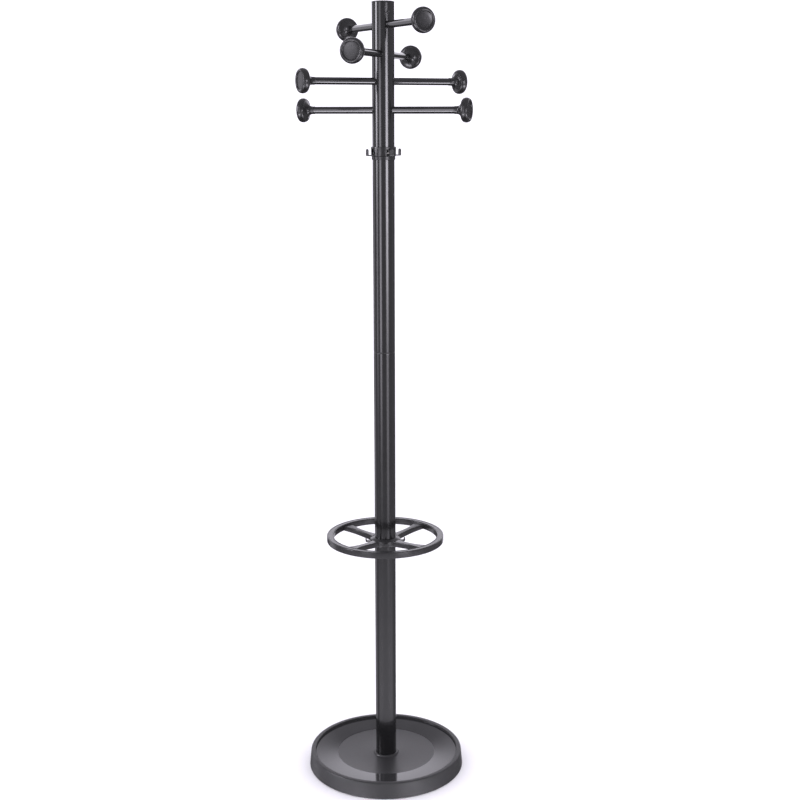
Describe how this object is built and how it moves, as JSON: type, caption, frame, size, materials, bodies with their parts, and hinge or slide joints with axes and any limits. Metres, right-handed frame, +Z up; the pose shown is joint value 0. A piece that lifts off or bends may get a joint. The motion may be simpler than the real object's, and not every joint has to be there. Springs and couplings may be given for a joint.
{
  "type": "standing coat rack",
  "caption": "Free-standing coat rack: round weighted base with drip tray, tube pole, umbrella ring, small hooks, and a swivelling head of round-knobbed pegs on through rods.",
  "frame": {"origin": "centre of the base on the floor", "axes": "+Z up along the pole; -Y is the front, +X to the right seen from the front"},
  "size_m": [0.3916, 0.3916, 1.829],
  "materials": {
    "rubber_pad": "matte",
    "base_plastic": "fine satin grain",
    "tray_plastic": "glossy band, textured middle",
    "concrete": "cast",
    "tube_paint": "gloss black",
    "rod_paint": "satin black",
    "knob_plastic": "satin",
    "collar_plastic": "satin",
    "ring_plastic": "satin",
    "acetal": "smooth",
    "screw_paint": "satin black",
    "insert_nylon": "black, moulded",
    "zinc_steel": "zinc plated"
  },
  "bodies": {
    "stand": {"floor_pads": "rubber_pad", "bottom_plate": "base_plastic", "ballast_disc": "concrete", "base_cover": "base_plastic", "drip_tray": "tray_plastic", "base_bolt": "zinc_steel", "base_washer": "zinc_steel", "foot_plug": "insert_nylon", "lower_tube": "tube_paint", "ring_joint_socket": "insert_nylon", "ring_joint_stud": "zinc_steel", "ring_joint_plug": "insert_nylon", "lower_mid_tube": "tube_paint", "mid_joint_socket": "insert_nylon", "mid_joint_stud": "zinc_steel", "mid_joint_plug": "insert_nylon", "upper_mid_tube": "tube_paint", "head_joint_socket": "insert_nylon", "thrust_washer": "acetal", "swivel_bolt": "zinc_steel"},
    "umbrella_holder": {"umbrella_ring": "ring_plastic", "hub_bush": "acetal"},
    "head": {"head_plug": "acetal", "hook_collar": "collar_plastic", "head_tube": "tube_paint", "peg_rod_1": "rod_paint", "peg_rod_2": "rod_paint", "peg_rod_3": "rod_paint", "peg_rod_4": "rod_paint", "knob_1a": "knob_plastic", "knob_1b": "knob_plastic", "knob_2a": "knob_plastic", "knob_2b": "knob_plastic", "knob_3a": "knob_plastic", "knob_3b": "knob_plastic", "knob_4a": "knob_plastic", "knob_4b": "knob_plastic", "top_cap": "knob_plastic", "cap_screw": "screw_paint"}
  },
  "joints": [
    {"name": "head_turn", "type": "hinge", "parent": "stand", "child": "head", "pos_m": [0, 0, 1.497], "axis": [0, 0, 1], "continuous": true},
    {"name": "umbrella_ring_turn", "type": "hinge", "parent": "stand", "child": "umbrella_holder", "pos_m": [0, 0, 0.587], "axis": [0, 0, 1], "continuous": true}
  ]
}
